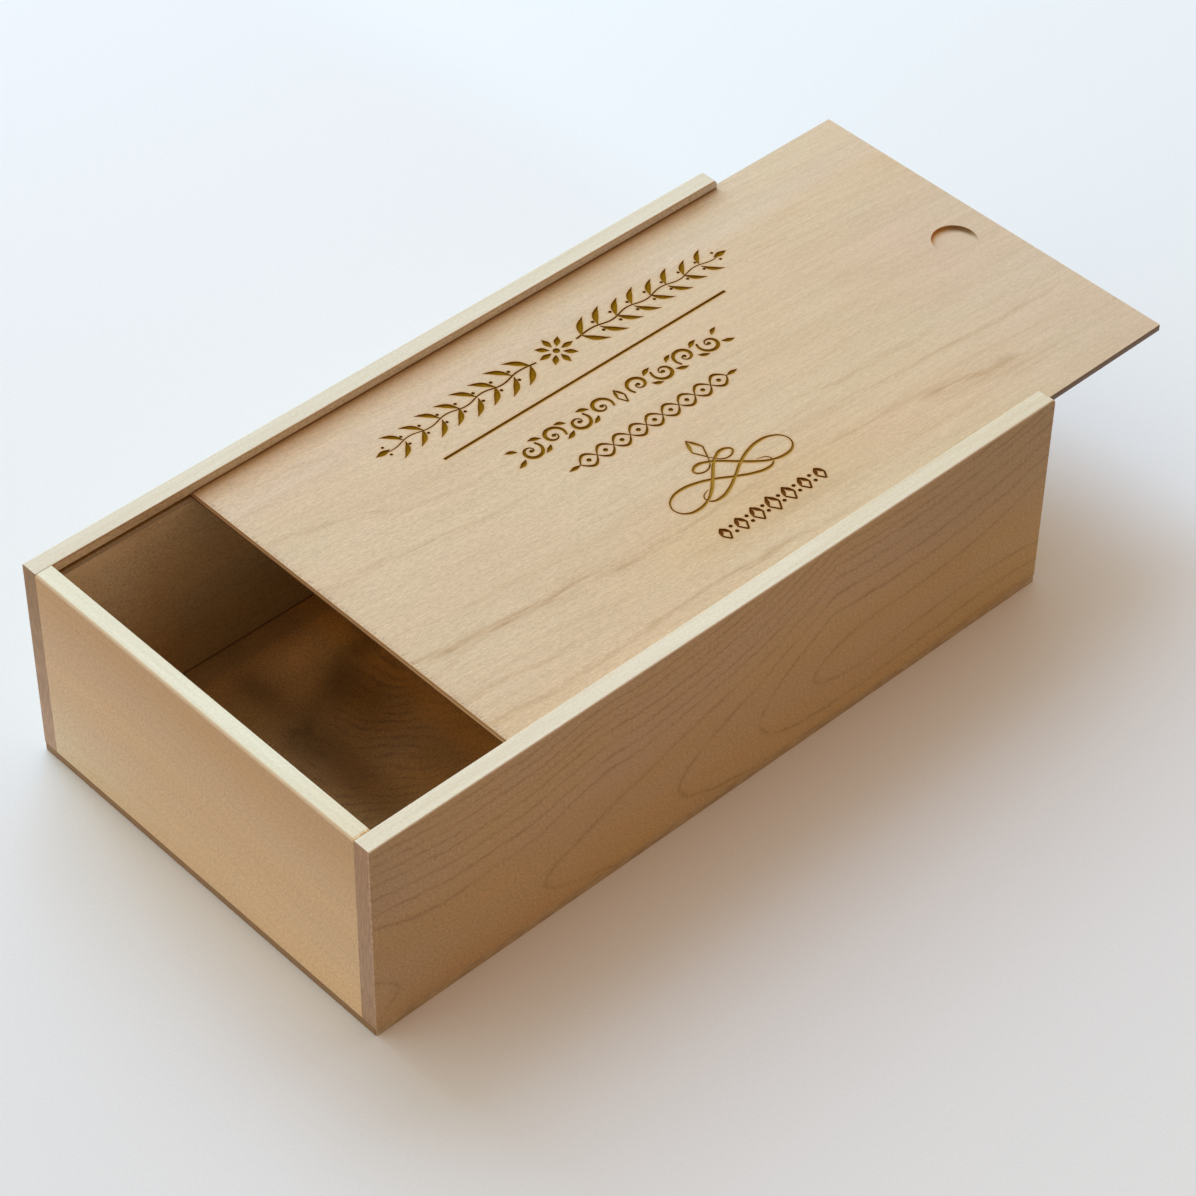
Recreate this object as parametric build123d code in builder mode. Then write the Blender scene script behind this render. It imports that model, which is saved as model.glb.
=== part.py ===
"""Keepsake box with a sliding lid.

Four butt-jointed walls stand on a thin bottom panel. The lid is a thin board that runs in a groove
cut into both side walls and the closed end, and passes over the lower open end.

Frame: origin at the centre of the underside, +X towards the open end, +Y towards the left side, +Z up.
The lid stands partly drawn out, as lid_drawn_out says.
"""
import os

from build123d import *

# Box, in millimetres
box_length = 360.0
box_width = 200.0
box_height = 100.0
side_thickness = 8.0
end_thickness = 8.0
bottom_thickness = 4.0

# Lid and the groove that it runs in
lid_thickness = 3.0
lid_drawn_out = 70.5
lip_height = 4.5
groove_depth = 3.0
play_above_lid = 0.4
play_beside_lid = 0.5
play_at_closed_end = 0.2
play_over_open_end = 0.2

# Thumb recess in the lid
recess_diameter = 20.0
recess_depth = 1.6
recess_inset = 21.5
recess_floor_radius = 0.5

# Rounded corners and eased edges
side_nose_radius = 2.5
end_top_radius = 1.0
bottom_corner_radius = 1.0
lid_corner_radius = 0.6
wall_arris = 0.4
panel_arris = 0.3

# Levels, from the underside up
wall_base = bottom_thickness
wall_height = box_height - wall_base
groove_top = box_height - lip_height
groove_height = lid_thickness + play_above_lid
groove_floor = groove_top - groove_height
groove_centre = groove_floor + groove_height / 2
open_end_height = groove_floor - play_over_open_end - wall_base

# Places along and across the box
closed_end_face = -box_length / 2
closed_end_inside = closed_end_face + end_thickness
open_end_face = box_length / 2
open_end_inside = open_end_face - end_thickness
inner_width = box_width - 2 * side_thickness
side_outside = box_width / 2
side_inside = inner_width / 2

# Lid, first as it lies when closed: from the end groove to flush with the open end
lid_stop = closed_end_inside - groove_depth
lid_length = open_end_face - lid_stop - play_at_closed_end
lid_width = inner_width + 2 * (groove_depth - play_beside_lid)
lid_far_edge = open_end_face + lid_drawn_out

os.makedirs("parts", exist_ok=True)

# Left side wall: outline with a rounded nose at the top of the open end
with BuildPart() as left_side:
    with BuildSketch(Plane.XZ.offset(-side_outside)):
        with Locations((0, wall_base)):
            Rectangle(box_length, wall_height, align=(Align.CENTER, Align.MIN))
        fillet(vertices().group_by(Axis.X)[-1].sort_by(Axis.Y)[-1], radius=side_nose_radius)
    extrude(amount=side_thickness)
    # The groove is open at one end and stops in a cutter's half round behind the closed end
    with BuildSketch(Plane.XZ.offset(-side_inside)):
        with Locations((lid_stop, groove_centre)):
            Rectangle(open_end_face - lid_stop, groove_height, align=(Align.MIN, Align.CENTER))
            Circle(groove_height / 2)
    extrude(amount=-groove_depth, mode=Mode.SUBTRACT)
    outer_edges = faces().sort_by(Axis.Y)[-1].edges().sort_by(Axis.Z)[1:]
    lip_edge = edges().filter_by(Axis.X).group_by(Axis.Z)[-1].sort_by(Axis.Y)[0]
    fillet(outer_edges + [lip_edge], radius=wall_arris)

# Right side wall: the same board, mirrored
with BuildPart() as right_side:
    mirror(left_side.part, about=Plane.XZ)

# Closed end: full height between the side walls, grooved across its inner face
with BuildPart() as closed_end:
    with BuildSketch(Plane.YZ.offset(closed_end_face)):
        with Locations((0, wall_base)):
            Rectangle(inner_width, wall_height, align=(Align.CENTER, Align.MIN))
    extrude(amount=end_thickness)
    with BuildSketch(Plane.YZ.offset(closed_end_inside)):
        with Locations((0, groove_centre)):
            Rectangle(inner_width, groove_height)
    extrude(amount=-groove_depth, mode=Mode.SUBTRACT)
    top_edges = edges().filter_by(Axis.Y).group_by(Axis.Z)[-1].sort_by(Axis.X)
    fillet(top_edges[0], radius=end_top_radius)
    top_edges = edges().filter_by(Axis.Y).group_by(Axis.Z)[-1].sort_by(Axis.X)
    fillet(top_edges[-1], radius=wall_arris)

# Open end: stops just under the lid, so that the lid slides out over it
with BuildPart() as open_end:
    with BuildSketch(Plane.YZ.offset(open_end_inside)):
        with Locations((0, wall_base)):
            Rectangle(inner_width, open_end_height, align=(Align.CENTER, Align.MIN))
    extrude(amount=end_thickness)
    fillet(edges().filter_by(Axis.Y).group_by(Axis.Z)[-1], radius=wall_arris)

# Bottom panel under all four walls
with BuildPart() as bottom_panel:
    with BuildSketch():
        Rectangle(box_length, box_width)
        fillet(vertices(), radius=bottom_corner_radius)
    extrude(amount=bottom_thickness)
    fillet(edges().group_by(Axis.Z)[0], radius=panel_arris)

# Lid with its thumb recess
with BuildPart() as lid:
    with BuildSketch(Plane.XY.offset(groove_floor)):
        with Locations((lid_far_edge, 0)):
            Rectangle(lid_length, lid_width, align=(Align.MAX, Align.CENTER))
        fillet(vertices(), radius=lid_corner_radius)
    extrude(amount=lid_thickness)
    fillet(faces().sort_by(Axis.Z)[-1].edges(), radius=panel_arris)
    fillet(faces().sort_by(Axis.Z)[0].edges(), radius=panel_arris)
    with BuildSketch(Plane.XY.offset(groove_floor + lid_thickness)):
        with Locations((lid_far_edge - recess_inset, 0)):
            Circle(recess_diameter / 2)
    extrude(amount=-recess_depth, mode=Mode.SUBTRACT)
    recess_edges = edges().filter_by(GeomType.CIRCLE).filter_by(
        lambda edge: abs(edge.radius - recess_diameter / 2) < 1e-6
    )
    fillet(recess_edges.sort_by(Axis.Z)[0], radius=recess_floor_radius)

pieces = {
    "left_side": left_side,
    "right_side": right_side,
    "closed_end": closed_end,
    "open_end": open_end,
    "bottom_panel": bottom_panel,
    "lid": lid,
}
for name, piece in pieces.items():
    piece.part.label = name
    export_step(piece.part, f"parts/{name}.step")
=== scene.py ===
"""Keepsake box with a sliding lid: its woods, the engraving in its lid, the light and the camera.

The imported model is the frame. Four glued boards stand on a thin sheet, and the lid slides in a groove
along +X, towards the open end. Lengths are in metres, and the finishes work in millimetres.
"""
import math

import bmesh
import bpy
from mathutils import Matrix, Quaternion, Vector


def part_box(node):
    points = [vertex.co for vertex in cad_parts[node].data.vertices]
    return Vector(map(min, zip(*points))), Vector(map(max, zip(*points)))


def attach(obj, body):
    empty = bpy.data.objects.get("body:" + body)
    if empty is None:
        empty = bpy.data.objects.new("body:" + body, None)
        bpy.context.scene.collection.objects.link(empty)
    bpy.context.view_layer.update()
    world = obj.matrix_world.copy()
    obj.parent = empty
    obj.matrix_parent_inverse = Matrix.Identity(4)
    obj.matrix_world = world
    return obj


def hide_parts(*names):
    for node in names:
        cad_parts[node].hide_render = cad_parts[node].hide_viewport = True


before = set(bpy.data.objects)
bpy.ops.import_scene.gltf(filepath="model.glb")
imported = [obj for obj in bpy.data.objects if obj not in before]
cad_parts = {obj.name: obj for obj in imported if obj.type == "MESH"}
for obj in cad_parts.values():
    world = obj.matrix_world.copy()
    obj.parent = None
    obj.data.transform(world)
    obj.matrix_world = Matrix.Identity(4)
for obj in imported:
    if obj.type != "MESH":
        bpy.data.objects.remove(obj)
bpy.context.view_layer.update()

MM = 0.001

# Box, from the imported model, in millimetres
HALF_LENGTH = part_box("left_side")[1].x / MM
HALF_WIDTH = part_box("left_side")[1].y / MM
BOX_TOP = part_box("left_side")[1].z / MM
LEFT_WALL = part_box("left_side")[0].y / MM
END_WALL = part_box("closed_end")[1].x / MM
SHEET_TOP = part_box("bottom_panel")[1].z / MM
GROOVE_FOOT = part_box("open_end")[1].z / MM
LID_LOW, LID_HIGH = [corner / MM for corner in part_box("lid")]

# Camera
CAMERA_PLACE = Vector((-0.7412, -0.7992, 1.0827))
CAMERA_AIM = Vector((0.49942, 0.52063, -0.69248))
CAMERA_ROLL = math.radians(0.873)
CAMERA_LENS = 114.04
CAMERA_SENSOR = 36.0

# Light, paper and backdrop
PAPER = (0.84, 0.89, 0.93)
# Painted light: the paper's tone where the cool window light falls past the lid's end
PAPER_IN_PAINTED_LIGHT = (0.862, 0.945, 1.0)
BACKDROP = (0.845, 0.885, 0.912)
HIGH_WINDOW = {"place": (0.55, 1.42, 2.05), "size": 1.5, "power": 25.7, "colour": (0.532, 0.696, 1.0)}
LOW_WINDOW = {"place": (0.0, 1.95, 1.15), "size": 0.8, "power": 11.0, "colour": (0.588, 0.846, 1.0)}
ROOM_SIDE = (0.34, 0.10, 0.0)
WINDOW_SIDE = (1.012, 1.02, 0.888)
ROOM_TURN = (-0.7, 0.5)
AIM_HEIGHT = 0.05
PAPER_REACH = 4.0
PAPER_DROP = 0.1 * MM


def placed(name, data):
    """A new object in the scene, at the origin."""
    made = bpy.data.objects.new(name, data)
    bpy.context.scene.collection.objects.link(made)
    return made


class Finish:
    """A material being made, with a short call for each kind of node that the woods need."""

    def __init__(self, name):
        self.material = bpy.data.materials.new(name)
        self.material.use_nodes = True
        self.tree = self.material.node_tree
        self.shader = self.tree.nodes["Principled BSDF"]
        place = self.tree.nodes.new("ShaderNodeTexCoord").outputs["Object"]
        self.place = self.scaled(place, (1 / MM, 1 / MM, 1 / MM))
        self.x, self.y, self.z = self.parts(self.place)

    def node(self, kind, values, **settings):
        """A new node with its settings, and with its inputs set or linked in order."""
        made = self.tree.nodes.new(kind)
        for name, value in settings.items():
            setattr(made, name, value)
        for name, value in values.items():
            socket = made.inputs[name]
            if isinstance(value, bpy.types.NodeSocket):
                self.tree.links.new(value, socket)
            else:
                socket.default_value = value
        return made

    def maths(self, operation, *values, clamp=False):
        inputs = dict(enumerate(values))
        return self.node("ShaderNodeMath", inputs, operation=operation, use_clamp=clamp).outputs[0]

    def plus(self, first, second):
        return self.maths("ADD", first, second)

    def minus(self, first, second):
        return self.maths("SUBTRACT", first, second)

    def times(self, first, *others):
        for other in others:
            first = self.maths("MULTIPLY", first, other)
        return first

    def hypotenuse(self, first, second):
        squares = self.plus(self.maths("POWER", first, 2.0), self.maths("POWER", second, 2.0))
        return self.maths("SQRT", squares)

    def scaled(self, vector, factors):
        inputs = {0: vector, 1: factors}
        return self.node("ShaderNodeVectorMath", inputs, operation="MULTIPLY").outputs[0]

    def parts(self, vector):
        return self.node("ShaderNodeSeparateXYZ", {0: vector}).outputs

    def joined(self, x, y, z):
        return self.node("ShaderNodeCombineXYZ", {0: x, 1: y, 2: z}).outputs[0]

    def noise(self, vector, detail=2.0, roughness=0.5):
        inputs = {"Vector": vector, "Scale": 1.0, "Detail": detail, "Roughness": roughness}
        return self.node("ShaderNodeTexNoise", inputs).outputs[0]

    def grain(self, board, along, across, detail=2.0, shift=0.0):
        """Noise drawn out along the grain, with features of those two sizes in millimetres."""
        place = self.scaled(board, (1 / along, 1 / across, 1 / across))
        offset = (shift, shift * 1.7, -shift)
        moved = self.node("ShaderNodeVectorMath", {0: place, 1: offset}, operation="ADD").outputs[0]
        return self.noise(moved, detail=detail)

    def span(self, value, low, high, to_low=0.0, to_high=1.0, smooth=False):
        """The value carried from low..high to to_low..to_high, and held at the ends."""
        inputs = {0: value, 1: low, 2: high, 3: to_low, 4: to_high}
        kind = "SMOOTHSTEP" if smooth else "LINEAR"
        return self.node("ShaderNodeMapRange", inputs, interpolation_type=kind).outputs[0]

    def drawn(self, value, points):
        """The value read from a smooth line through a few (value, result) points."""
        left, right = points[0][0], points[-1][0]
        low = min(result for _, result in points)
        high = max(result for _, result in points)
        share = self.span(value, left, right)
        line = self.node("ShaderNodeFloatCurve", {"Value": share})
        curve = line.mapping.curves[0]
        shares = [((v - left) / (right - left), (r - low) / (high - low)) for v, r in points]
        curve.points[0].location = shares[0]
        curve.points[1].location = shares[-1]
        for spot in shares[1:-1]:
            curve.points.new(*spot)
        for point in curve.points:
            point.handle_type = "AUTO_CLAMPED"
        line.mapping.update()
        return self.span(line.outputs[0], 0.0, 1.0, low, high)

    def mixed(self, share, first, second, kind="MIX"):
        """Two colours mixed by a share, or the first worked on by the second."""
        mix = self.tree.nodes.new("ShaderNodeMix")
        mix.data_type = "RGBA"
        mix.blend_type = kind
        for index, value in ((0, share), (6, first), (7, second)):
            if isinstance(value, bpy.types.NodeSocket):
                self.tree.links.new(value, mix.inputs[index])
            elif index == 0:
                mix.inputs[index].default_value = value
            else:
                mix.inputs[index].default_value = (*value, 1.0)
        return mix.outputs[2]

    def toned(self, colour, factor):
        """The colour made lighter or darker by a factor."""
        grey = self.joined(factor, factor, factor)
        return self.mixed(1.0, colour, grey, "MULTIPLY")

    def finished(self, colour, roughness, height, depth):
        """Links the colour, the roughness and a relief of that depth in millimetres."""
        self.tree.links.new(colour, self.shader.inputs["Base Color"])
        self.tree.links.new(roughness, self.shader.inputs["Roughness"])
        inputs = {"Height": height, "Strength": 1.0, "Distance": depth * MM}
        bump = self.node("ShaderNodeBump", inputs)
        self.tree.links.new(bump.outputs[0], self.shader.inputs["Normal"])
        return self.material


# Solid wood

LEAST_SLOPE = 0.02
EASED_EDGE = 0.25


def ring_number(finish, along, up, inward, log):
    """The ring that a point lies in, counted from the pith, and how steeply the rings cross the face."""
    height = finish.drawn(along, log["height"])
    depth = finish.drawn(along, log["depth"])
    rise = finish.minus(up, height)
    if "knot" in log:
        rise = finish.minus(rise, swelling_by_a_knot(finish, along, up, log["knot"]))
    if "lift" in log:
        above = finish.span(up, *log["lift_from"], smooth=True)
        rise = finish.plus(rise, finish.times(finish.drawn(along, log["lift"]), above))
    radius = finish.hypotenuse(rise, finish.minus(depth, inward))
    slope = finish.maths("POWER", finish.maths("DIVIDE", rise, radius), 2.0)
    steepness = finish.maths("SQRT", finish.plus(slope, LEAST_SLOPE))
    return finish.drawn(radius, log["rings"]), steepness


def swelling_by_a_knot(finish, along, up, knot):
    """The rings climb to a ridge beside a knot that was cut away."""
    gap = finish.minus(along, knot["along"])
    before = finish.maths("DIVIDE", gap, knot["reach_before"])
    after = finish.maths("DIVIDE", gap, -knot["reach_after"])
    fading = finish.maths("EXPONENT", finish.maths("SMOOTH_MIN", before, after, knot["roundness"]))
    above = finish.span(up, knot["from"], knot["to"], smooth=True)
    return finish.times(fading, above, knot["rise"])


def ring_lines(finish, board, places, log, tones, seed):
    """The dark lines of the growth rings, wavy, of uneven strength and broken here and there."""
    along, up, inward = places
    wander = finish.span(finish.grain(board, 11.0, 4.0, detail=1.0, shift=seed), 0.0, 1.0, -1.5, 1.5)
    crimp = finish.span(finish.grain(board, 2.2, 1.6, detail=2.0, shift=seed + 3), 0.0, 1.0, -1.0, 1.0)
    risen = finish.plus(finish.plus(up, wander), crimp)
    rings, steepness = ring_number(finish, along, risen, inward, log)
    share = finish.maths("FRACT", rings)
    from_line = finish.minus(0.5, finish.maths("ABSOLUTE", finish.minus(share, 0.5)))
    width = finish.times(steepness, tones["line_width"])
    core = finish.span(from_line, width, 0.0, smooth=True)
    shoulder = finish.span(from_line, finish.times(width, 3.0), 0.0, smooth=True)
    line = finish.plus(finish.times(core, 0.72), finish.times(shoulder, 0.28))
    ring_name = finish.maths("FLOOR", finish.plus(rings, 0.5))
    chance = finish.node("ShaderNodeTexWhiteNoise", {"W": ring_name}, noise_dimensions="1D").outputs[0]
    broken = finish.span(finish.grain(board, 26.0, 7.0, detail=3.0, shift=seed + 5), 0.35, 0.62, 0.4, 1.0)
    strength = finish.times(finish.span(chance, 0.0, 1.0, 0.78, 1.0), broken, tones["line_strength"])
    return finish.times(line, strength)


def grain_tone(finish, board, fibre, streak, tones, seed):
    """How much lighter or darker the fibres, streaks, open pores and dark flecks make the wood."""
    tone = finish.plus(finish.span(fibre, 0.25, 0.75, -0.045, 0.045),
                       finish.span(streak, 0.3, 0.7, 0.983, 1.017))
    pores = finish.noise(finish.scaled(board, (0.7, 1.15, 1.15)), detail=2.0, roughness=0.9)
    grit = finish.span(pores, 0.3, 0.7, -tones["grit"], tones["grit"])
    if "smooth_face" in tones:
        grit = finish.times(grit, finish.span(tones["smooth_face"](finish), 0.0, 1.0, 1.0, 0.4))
    fleck = finish.span(finish.grain(board, 3.0, 0.4, detail=1.0, shift=seed + 17), 0.56, 0.72)
    return finish.minus(finish.plus(tone, grit), finish.times(fleck, 0.06))


def tinted(finish, colour, tints):
    """The colour multiplied by each tint where its mask is."""
    for mask, tint in tints:
        colour = finish.mixed(mask(finish), colour, tint, "MULTIPLY")
    return colour


def sawn_board(name, along, up, inward, log, tones, seed):
    """Solid wood with growth rings all through it, seen from the board's own place."""
    finish = Finish(name)
    places = []
    for axis, sign, start in (along, up, inward):
        places.append(finish.maths("MULTIPLY_ADD", getattr(finish, axis), sign, start))
    board = finish.joined(*places)
    line = ring_lines(finish, board, places, log, tones, seed)
    blotch = finish.span(finish.grain(board, 90.0, 26.0, shift=seed + 7), 0.35, 0.65)
    colour = finish.mixed(blotch, tones["pale"], tones["warm"])
    colour = finish.mixed(line, colour, tones["late"])
    colour = tinted(finish, colour, tones["tints"])
    fibre = finish.grain(board, 7.0, 0.35, detail=3.0, shift=seed + 11)
    streak = finish.grain(board, 70.0, 1.6, detail=3.0, shift=seed + 13)
    colour = finish.toned(colour, grain_tone(finish, board, fibre, streak, tones, seed))
    for mask, paint in tones["places"]:
        colour = finish.mixed(mask(finish), colour, paint(finish, fibre, streak, line))
    colour = tinted(finish, colour, tones["last_tints"])
    relief = finish.minus(fibre, finish.times(line, 0.4))
    roughness = finish.span(fibre, 0.2, 0.8, 0.5, 0.66)
    return finish.finished(colour, roughness, relief, 0.05)


# Masks: 1 where a tint or a paint shows in full, and 0 where it does not show


def where(axis, low, high, smooth=False):
    """A mask that is 0 at low and 1 at high, along one axis of the box, in millimetres."""
    def mask(finish):
        return finish.span(getattr(finish, axis), low, high, smooth=smooth)
    return mask


def between(axis, start, *offsets):
    """A mask that rises over the first two offsets from a start and falls over the last two."""
    foot, rise, fall, end = [start + offset for offset in offsets]
    return meeting(where(axis, foot, rise), where(axis, end, fall))


def smudge(x, y, reach_x, reach_y):
    """A soft round mask about a place, in millimetres."""
    def mask(finish):
        aside = finish.maths("DIVIDE", finish.minus(finish.x, x), reach_x)
        ahead = finish.maths("DIVIDE", finish.minus(finish.y, y), reach_y)
        squares = finish.plus(finish.maths("POWER", aside, 2.0), finish.maths("POWER", ahead, 2.0))
        return finish.maths("EXPONENT", finish.times(squares, -1.0))
    return mask


def meeting(*masks):
    """Where two or more masks meet."""
    def mask(finish):
        return finish.times(*[each(finish) for each in masks])
    return mask


def along_a_line(finish, line, width, waver):
    """A soft mask along a line drawn from -X to +X, which wavers and fades towards both its ends."""
    middle = finish.plus(finish.drawn(finish.x, line), waver)
    aside = finish.maths("ABSOLUTE", finish.minus(finish.y, middle))
    start, end = line[0][0], line[-1][0]
    fade = (end - start) * 0.25
    begun = finish.span(finish.x, start, start + fade, smooth=True)
    ended = finish.span(finish.x, end, end - fade, smooth=True)
    here = finish.span(aside, width, 0.0, smooth=True)
    return finish.times(here, begun, ended)


def ragged_corner(finish):
    """A mask on the arris between the closed end and the right side, of uneven width."""
    beside = finish.maths("MAXIMUM", finish.plus(finish.x, HALF_LENGTH), finish.plus(finish.y, HALF_WIDTH))
    ragged = finish.noise(finish.joined(0.0, 0.0, finish.times(finish.z, 0.5)), detail=4.0)
    return finish.span(finish.minus(finish.span(ragged, 0.36, 0.66, 0.2, 0.8), beside), 0.0, 0.35)


# Paints: each gives the colour of one place on a board, from the board's own fibres and rings


def cream_edge(finish, fibre, streak, line):
    """Planed edge grain, cream and a little woolly, with faint streaks along it."""
    colour = finish.mixed(finish.span(streak, 0.35, 0.7), (0.83, 0.80, 0.64), (0.77, 0.72, 0.545))
    wool = finish.noise(finish.scaled(finish.place, (0.8, 0.8, 0.8)), detail=3.0, roughness=0.65)
    colour = finish.toned(colour, finish.span(wool, 0.3, 0.7, 0.92, 1.06))
    return finish.mixed(finish.times(line, 0.25), colour, (0.62, 0.52, 0.33))


def end_grain(finish, fibre, streak, line):
    """Sawn end grain, greyer and pinker than the face, with open pores and upright saw marks."""
    upright = finish.noise(finish.scaled(finish.place, (1.0, 1.5, 0.14)), detail=3.0)
    colour = finish.mixed(finish.span(upright, 0.36, 0.66), (0.355, 0.225, 0.142), (0.50, 0.335, 0.215))
    pores = finish.noise(finish.place, detail=2.0, roughness=0.8)
    colour = finish.toned(colour, finish.span(pores, 0.3, 0.7, 0.9, 1.1))
    # Painted shade: darker and warmer towards the top, as on the heads of the faces
    high = finish.span(finish.z, 25.0, 96.0)
    colour = finish.mixed(high, colour, (0.92, 0.80, 0.64), "MULTIPLY")
    return finish.mixed(finish.times(line, 0.25), colour, (0.25, 0.155, 0.09))


def rounded_arris(finish, fibre, streak, line):
    """A sanded arris, lighter than the face below it."""
    return finish.mixed(finish.span(fibre, 0.3, 0.7), (0.64, 0.47, 0.29), (0.72, 0.55, 0.36))


def torn_arris(finish, fibre, streak, line):
    """The sharp corner of a sawn end, where light fibres stand up."""
    return finish.mixed(finish.span(fibre, 0.35, 0.6), (0.50, 0.36, 0.23), (0.66, 0.51, 0.36))


def glue_crumbs(finish, fibre, streak, line):
    """Dried glue and dust that were pressed out of a seam."""
    crumb = finish.noise(finish.place, detail=3.0)
    return finish.mixed(finish.span(crumb, 0.42, 0.62), (0.78, 0.58, 0.30), (0.55, 0.32, 0.10))


def shaded_arris(finish, fibre, streak, line):
    """The lower arris of the groove, painted a little dull for the shade that it lies in."""
    return finish.mixed(finish.span(fibre, 0.3, 0.7), (0.52, 0.50, 0.42), (0.62, 0.60, 0.52))


def seam_and_painted_shade(finish, fibre, streak, line):
    """The dark of an open seam, used too as painted shade at the foot of the left wall and of its lip."""
    return (0.22, 0.135, 0.07)


# Places on the boards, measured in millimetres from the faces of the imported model

WALL_TOP = where("z", BOX_TOP - 0.4, BOX_TOP - 0.2)
TOP_ARRIS = where("z", BOX_TOP - 0.85, BOX_TOP - 0.7)
SEAM_HEIGHT = where("z", BOX_TOP - 0.8, BOX_TOP - 0.4)
CLOSED_END_FACE = where("x", 0.4 - HALF_LENGTH, 0.25 - HALF_LENGTH)
OPEN_END_FACE = where("x", HALF_LENGTH - 0.4, HALF_LENGTH - 0.25)
CLOSED_END = where("x", END_WALL + 12.0, END_WALL + 2.0)
SANDED_ARRIS = meeting(where("x", 1.1 - HALF_LENGTH, 0.8 - HALF_LENGTH),
                       where("z", BOX_TOP - 1.1, BOX_TOP - 0.9))
GLUED_SEAM = meeting(where("x", END_WALL + 0.6, END_WALL + 0.1),
                     where("y", 1.7 - LEFT_WALL, 0.4 - LEFT_WALL), SEAM_HEIGHT)
OPEN_SEAM = meeting(where("x", END_WALL + 0.1, END_WALL - 0.3),
                    where("y", LEFT_WALL - 0.25, LEFT_WALL - 0.1), SEAM_HEIGHT)
INSIDE_LEFT = where("y", LEFT_WALL + 0.7, LEFT_WALL + 0.3)
OUTER_LEFT = where("y", HALF_WIDTH - 5.0, HALF_WIDTH - 3.0)
LEFT_BOARD = where("y", LEFT_WALL - 2.0, LEFT_WALL - 1.0)
LEFT_FOOT = meeting(LEFT_BOARD, where("z", 35.0, 5.0))
LEFT_HEAD = meeting(LEFT_BOARD, where("z", 50.0, 85.0))
WALL_FOOT = meeting(where("z", SHEET_TOP + 1.5, SHEET_TOP + 0.7),
                    where("y", LEFT_WALL + 0.6, LEFT_WALL + 0.2))
LEFT_GROOVE = meeting(between("z", GROOVE_FOOT, -0.2, 0.0, 3.6, 3.8),
                      where("y", LEFT_WALL + 3.4, LEFT_WALL + 3.2))
GROOVE_FLOOR = meeting(between("z", GROOVE_FOOT, -0.4, -0.2, 0.4, 0.7),
                       between("y", LEFT_WALL, 0.3, 0.7, 1.2, 2.3))
GROOVE_ARRIS = meeting(between("z", GROOVE_FOOT, -0.5, -0.2, 0.4, 0.7),
                       between("y", LEFT_WALL, -0.4, -0.2, 0.6, 0.9))
ALONG_THE_LID = where("x", LID_LOW.x - 2.7, LID_LOW.x + 1.3)
LIP_FACE = meeting(INSIDE_LEFT, where("z", LID_HIGH.z + 0.1, LID_HIGH.z + 0.3), ALONG_THE_LID)
LIP_FOOT = meeting(between("z", LID_HIGH.z, 0.1, 0.2, 0.7, 1.3), INSIDE_LEFT, ALONG_THE_LID)

# The log of each board: the height and depth of its pith along the board, and its rings by radius

RIGHT_SIDE_LOG = {
    "height": ((0, 18.2), (30, 20.0), (60, 22.2), (90, 20.6), (125, 20.6), (155, 22.3), (197, 27.1),
               (229, 32.1), (265, 34.1), (300, 36.2), (330, 38.4), (360, 39.8)),
    "depth": ((0, 58.4), (10, 59.4), (28, 60.4), (65, 60.4), (86, 59.4), (120, 57.1), (155, 53.7),
              (197, 48.6), (229, 43.9), (262, 42.6), (300, 42.8), (335, 42.3), (360, 40.7)),
    "lift": ((0, -12.7), (25, -9.3), (60, -4.2), (98, -7.2), (112, -8.2), (130, -5.7), (180, -0.9),
             (225, 1.4), (265, 2.3), (310, 0.7), (360, -4.5)),
    "lift_from": (30, 62),
    "knot": {"along": 236.0, "reach_before": 14.8, "reach_after": 43.5, "from": 38.0, "to": 58.0, "rise": 9.1,
             "roundness": 0.35},
    "rings": ((39, 0), (44.0, 1), (48.5, 2), (53.8, 3), (59.5, 4), (64.9, 5), (68.2, 6), (72.5, 7),
              (77.0, 8), (80.6, 9), (84.0, 10), (87.8, 11), (91.6, 12), (96, 13)),
}
LEFT_SIDE_LOG = {
    "height": ((0, 64), (90, 60), (180, 52), (270, 47), (360, 50)),
    "depth": ((0, 40.5), (70, 44), (140, 50), (200, 56), (250, 59.5), (300, 61.5), (360, 61)),
    "rings": ((34, 0), (60, 5), (69, 7), (80, 10), (92, 14), (104, 18)),
}
CLOSED_END_LOG = {
    "height": ((0, -60), (45, -57), (75, -47), (110, -36), (150, -33), (200, -34)),
    "depth": ((0, 42), (100, 38), (200, 40)),
    "rings": ((40, 0), (66, 3), (84, 6), (110, 9), (132, 13), (160, 18)),
}
OPEN_END_LOG = {
    "height": ((0, 38), (60, 44), (110, 49), (160, 47), (200, 42)),
    "depth": ((0, 47), (60, 43), (120, 38.5), (160, 36.5), (200, 36)),
    "rings": ((26, 0), (48, 5), (60, 8), (78, 13)),
}

# The tones of each board: its colours, its tints and the places that are painted over them. The tints
# are matched in this studio's coloured light, and some stand in for light and shade: paler feet, darker
# heads, and a left inner face that is nearly white at its top. In white light that face looks grey and
# the right side slightly green, so these are the values to match again for a neutral studio.

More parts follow.
